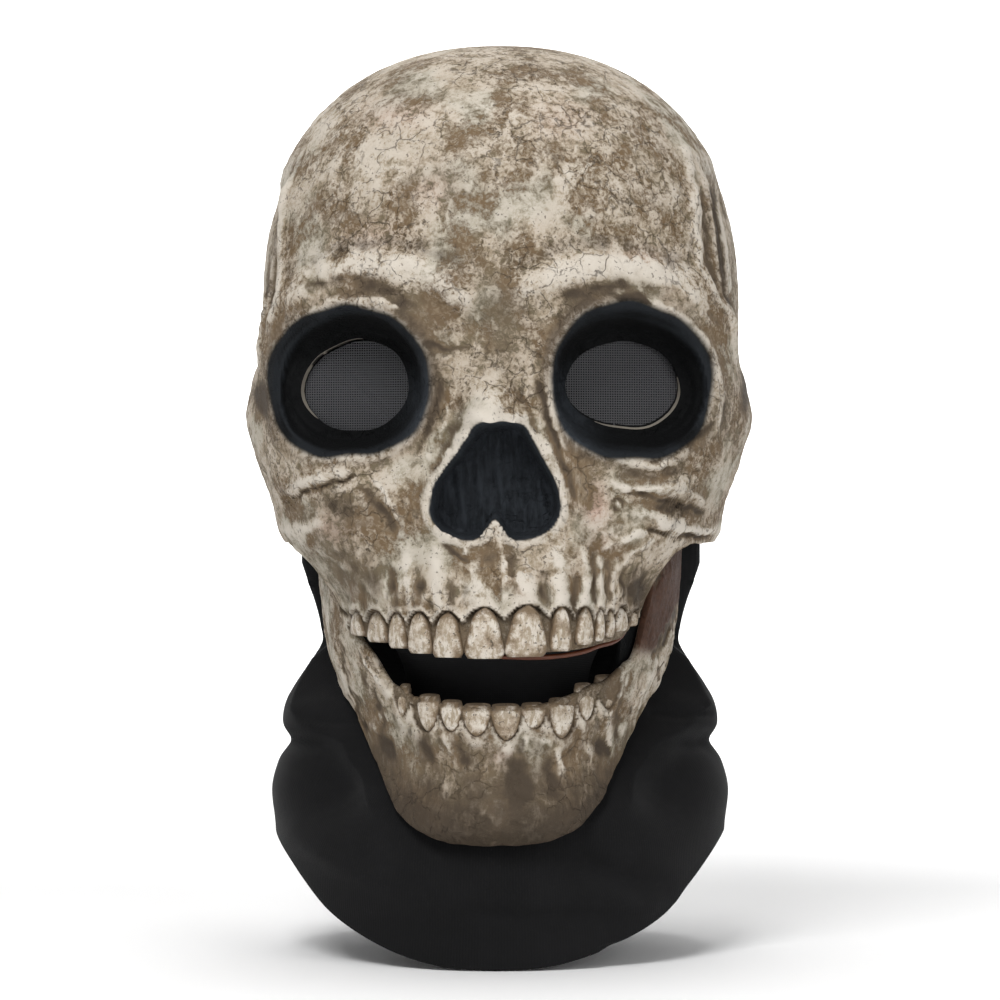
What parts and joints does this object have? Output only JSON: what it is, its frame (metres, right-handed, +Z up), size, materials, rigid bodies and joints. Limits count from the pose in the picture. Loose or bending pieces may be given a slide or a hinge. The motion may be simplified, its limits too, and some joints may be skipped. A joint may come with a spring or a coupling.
{
  "type": "skull mask",
  "caption": "Full-head latex skull mask with an open jaw, netted eye sockets, raised teeth, a black mouth veil and a black cloth neck hood.",
  "frame": {"origin": "the inner face of the latex under the top of the crown, where the top of the wearer's head bears", "axes": "+Z up to the crown, -Y out of the face, +X to the viewer's right when facing the mask"},
  "size_m": [0.1901, 0.2293, 0.3401],
  "materials": {
    "painted_latex": "matt cast latex, painted as aged bone",
    "black_cloth": "matt black stretch cloth",
    "eye_net": "black woven net",
    "brown_latex": "satin cast latex, painted flesh brown"
  },
  "bodies": {
    "root": {"skull_shell": "painted_latex", "jaw_shell": "painted_latex", "neck_hood": "black_cloth", "mouth_veil": "black_cloth", "cheek_web_left": "brown_latex", "cheek_web_right": "brown_latex", "eye_net_left": "eye_net", "eye_net_right": "eye_net"}
  },
  "joints": []
}
